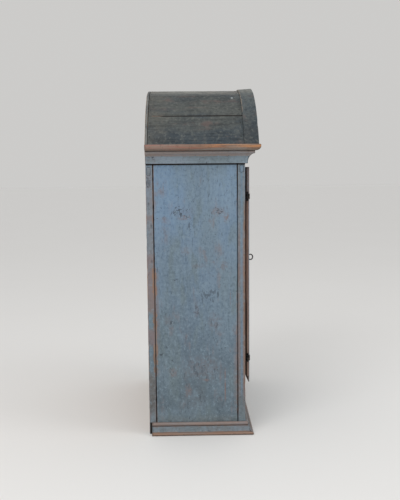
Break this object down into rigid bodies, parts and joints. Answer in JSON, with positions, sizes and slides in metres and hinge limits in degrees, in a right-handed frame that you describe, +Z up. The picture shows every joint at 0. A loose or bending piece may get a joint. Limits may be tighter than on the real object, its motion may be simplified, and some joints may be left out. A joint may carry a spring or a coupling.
{
  "type": "wall cabinet",
  "caption": "Painted pine wall cabinet with an arched board roof, a moulded cornice and base, a panelled lipped door on lift-off iron hinges, inner shelves, and a lock with its key.",
  "frame": {"origin": "centre of the overall box in plan, at the underside of the base", "axes": "+X to the right of a person facing the door, +Y towards the back, +Z up"},
  "size_m": [0.7256, 0.4026, 1.1779],
  "materials": {
    "blue_paint": "worn matt blue-grey paint over pine",
    "dark_roof_paint": "dark slate paint on boards, dry and matt",
    "worn_bare_wood": "brown wood with its paint worn off",
    "aged_pine": "unpainted pine darkened with age",
    "forged_iron": "blackened forged iron"
  },
  "bodies": {
    "carcass": {"front_stile_left": "blue_paint", "front_stile_right": "blue_paint", "front_top_rail": "blue_paint", "front_bottom_rail": "blue_paint", "back_stile_left": "blue_paint", "back_stile_right": "blue_paint", "back_top_rail": "aged_pine", "back_bottom_rail": "aged_pine", "back_board_1": "aged_pine", "back_board_2": "aged_pine", "back_board_3": "aged_pine", "side_panel_left": "blue_paint", "side_panel_right": "blue_paint", "bottom_board": "aged_pine", "top_board": "aged_pine", "shelf_lower": "aged_pine", "shelf_upper": "aged_pine", "batten_lower_left": "aged_pine", "batten_lower_right": "aged_pine", "batten_upper_left": "aged_pine", "batten_upper_right": "aged_pine", "cornice_cove_left": "blue_paint", "cornice_cove_right": "blue_paint", "cornice_cove_front": "blue_paint", "cornice_ovolo_left": "worn_bare_wood", "cornice_ovolo_right": "worn_bare_wood", "cornice_ovolo_front": "worn_bare_wood", "base_moulding_left": "blue_paint", "base_moulding_right": "blue_paint", "base_moulding_front": "blue_paint", "roof_board_1": "dark_roof_paint", "roof_board_2": "dark_roof_paint", "roof_board_3": "dark_roof_paint", "roof_board_4": "dark_roof_paint", "roof_board_5": "dark_roof_paint", "roof_board_6": "dark_roof_paint", "tympanum_board": "blue_paint", "rear_gable": "dark_roof_paint", "arch_rim_left": "dark_roof_paint", "arch_rim_crown": "dark_roof_paint", "arch_rim_right": "dark_roof_paint", "hinge_lower_frame_leaf": "forged_iron", "hinge_upper_frame_leaf": "forged_iron", "strike_plate": "forged_iron"},
    "door": {"door_hinge_stile": "blue_paint", "door_lock_stile": "blue_paint", "door_top_rail": "blue_paint", "door_bottom_rail": "blue_paint", "door_panel": "blue_paint", "hinge_lower_door_leaf": "forged_iron", "hinge_upper_door_leaf": "forged_iron", "escutcheon": "forged_iron", "lock_case": "forged_iron", "lock_spring": "forged_iron"},
    "bolt": {"lock_bolt": "forged_iron"},
    "key": {"key": "forged_iron"}
  },
  "joints": [
    {"name": "door_swing", "type": "hinge", "parent": "carcass", "child": "door", "pos_m": [-0.2753, -0.13525, 0.525], "axis": [0, 0, -1], "range_deg": [0, 170]},
    {"name": "key_turn", "type": "hinge", "parent": "door", "child": "key", "pos_m": [0.22, -0.10895, 0.5335], "axis": [0, 1, 0], "range_deg": [0, 180]},
    {"name": "bolt_throw", "type": "slide", "parent": "door", "child": "bolt", "axis": [1, 0, 0], "range_m": [0, 0.012]}
  ],
  "couplings": [
    {"joint": "bolt_throw", "follows": "key_turn", "m_per_rad": 0.0038197}
  ]
}
